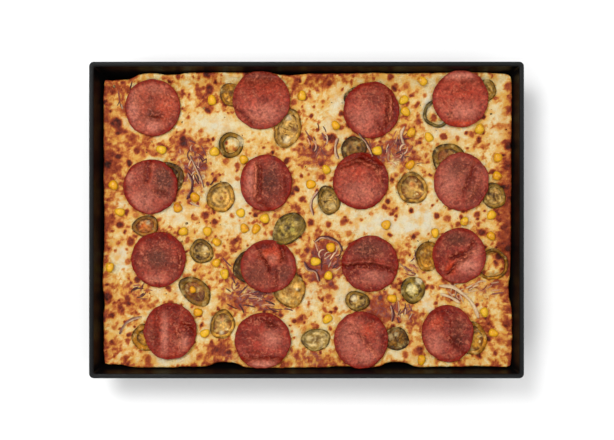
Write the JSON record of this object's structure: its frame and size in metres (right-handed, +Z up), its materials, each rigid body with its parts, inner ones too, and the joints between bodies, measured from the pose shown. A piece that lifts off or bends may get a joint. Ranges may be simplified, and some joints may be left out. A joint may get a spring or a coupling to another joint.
{
  "type": "deep dish pizza in its pan",
  "caption": "Deep dish pizza baked in a black rectangular pan, with melted cheese to the walls, sliced pepperoni, pickled pepper slices, sweetcorn and red onion.",
  "frame": {"origin": "under the centre of the pan, on the surface that it stands on", "axes": "+X along the pan's long side, +Y across it towards the side that is uppermost in a view from above, +Z up"},
  "size_m": [0.368, 0.2676, 0.057],
  "materials": {
    "pan_metal": "semi-matt black",
    "baked_crust": "baked dough, dry",
    "melted_cheese": "melted, browned in patches, oily",
    "pepperoni": "cured meat, oily",
    "pickled_pepper": "cooked, moist",
    "red_onion": "cooked, moist"
  },
  "bodies": {
    "root": {"cheese": "melted_cheese", "crust": "baked_crust", "jalapeno_01": "pickled_pepper", "jalapeno_02": "pickled_pepper", "jalapeno_03": "pickled_pepper", "jalapeno_04": "pickled_pepper", "jalapeno_05": "pickled_pepper", "jalapeno_06": "pickled_pepper", "jalapeno_07": "pickled_pepper", "jalapeno_08": "pickled_pepper", "jalapeno_09": "pickled_pepper", "jalapeno_10": "pickled_pepper", "jalapeno_11": "pickled_pepper", "jalapeno_12": "pickled_pepper", "jalapeno_13": "pickled_pepper", "jalapeno_14": "pickled_pepper", "jalapeno_15": "pickled_pepper", "jalapeno_16": "pickled_pepper", "jalapeno_17": "pickled_pepper", "jalapeno_18": "pickled_pepper", "jalapeno_19": "pickled_pepper", "jalapeno_20": "pickled_pepper", "jalapeno_21": "pickled_pepper", "jalapeno_22": "pickled_pepper", "jalapeno_23": "pickled_pepper", "jalapeno_24": "pickled_pepper", "jalapeno_25": "pickled_pepper", "jalapeno_26": "pickled_pepper", "jalapeno_27": "pickled_pepper", "jalapeno_28": "pickled_pepper", "onion_01": "red_onion", "onion_02": "red_onion", "onion_03": "red_onion", "onion_04": "red_onion", "onion_05": "red_onion", "onion_06": "red_onion", "onion_07": "red_onion", "onion_08": "red_onion", "onion_09": "red_onion", "onion_10": "red_onion", "onion_11": "red_onion", "onion_12": "red_onion", "pan": "pan_metal", "pepperoni_01": "pepperoni", "pepperoni_02": "pepperoni", "pepperoni_03": "pepperoni", "pepperoni_04": "pepperoni", "pepperoni_05": "pepperoni", "pepperoni_06": "pepperoni", "pepperoni_07": "pepperoni", "pepperoni_08": "pepperoni", "pepperoni_09": "pepperoni", "pepperoni_10": "pepperoni", "pepperoni_11": "pepperoni", "pepperoni_12": "pepperoni", "pepperoni_13": "pepperoni", "pepperoni_14": "pepperoni", "pepperoni_15": "pepperoni", "pepperoni_16": "pepperoni"}
  },
  "joints": []
}
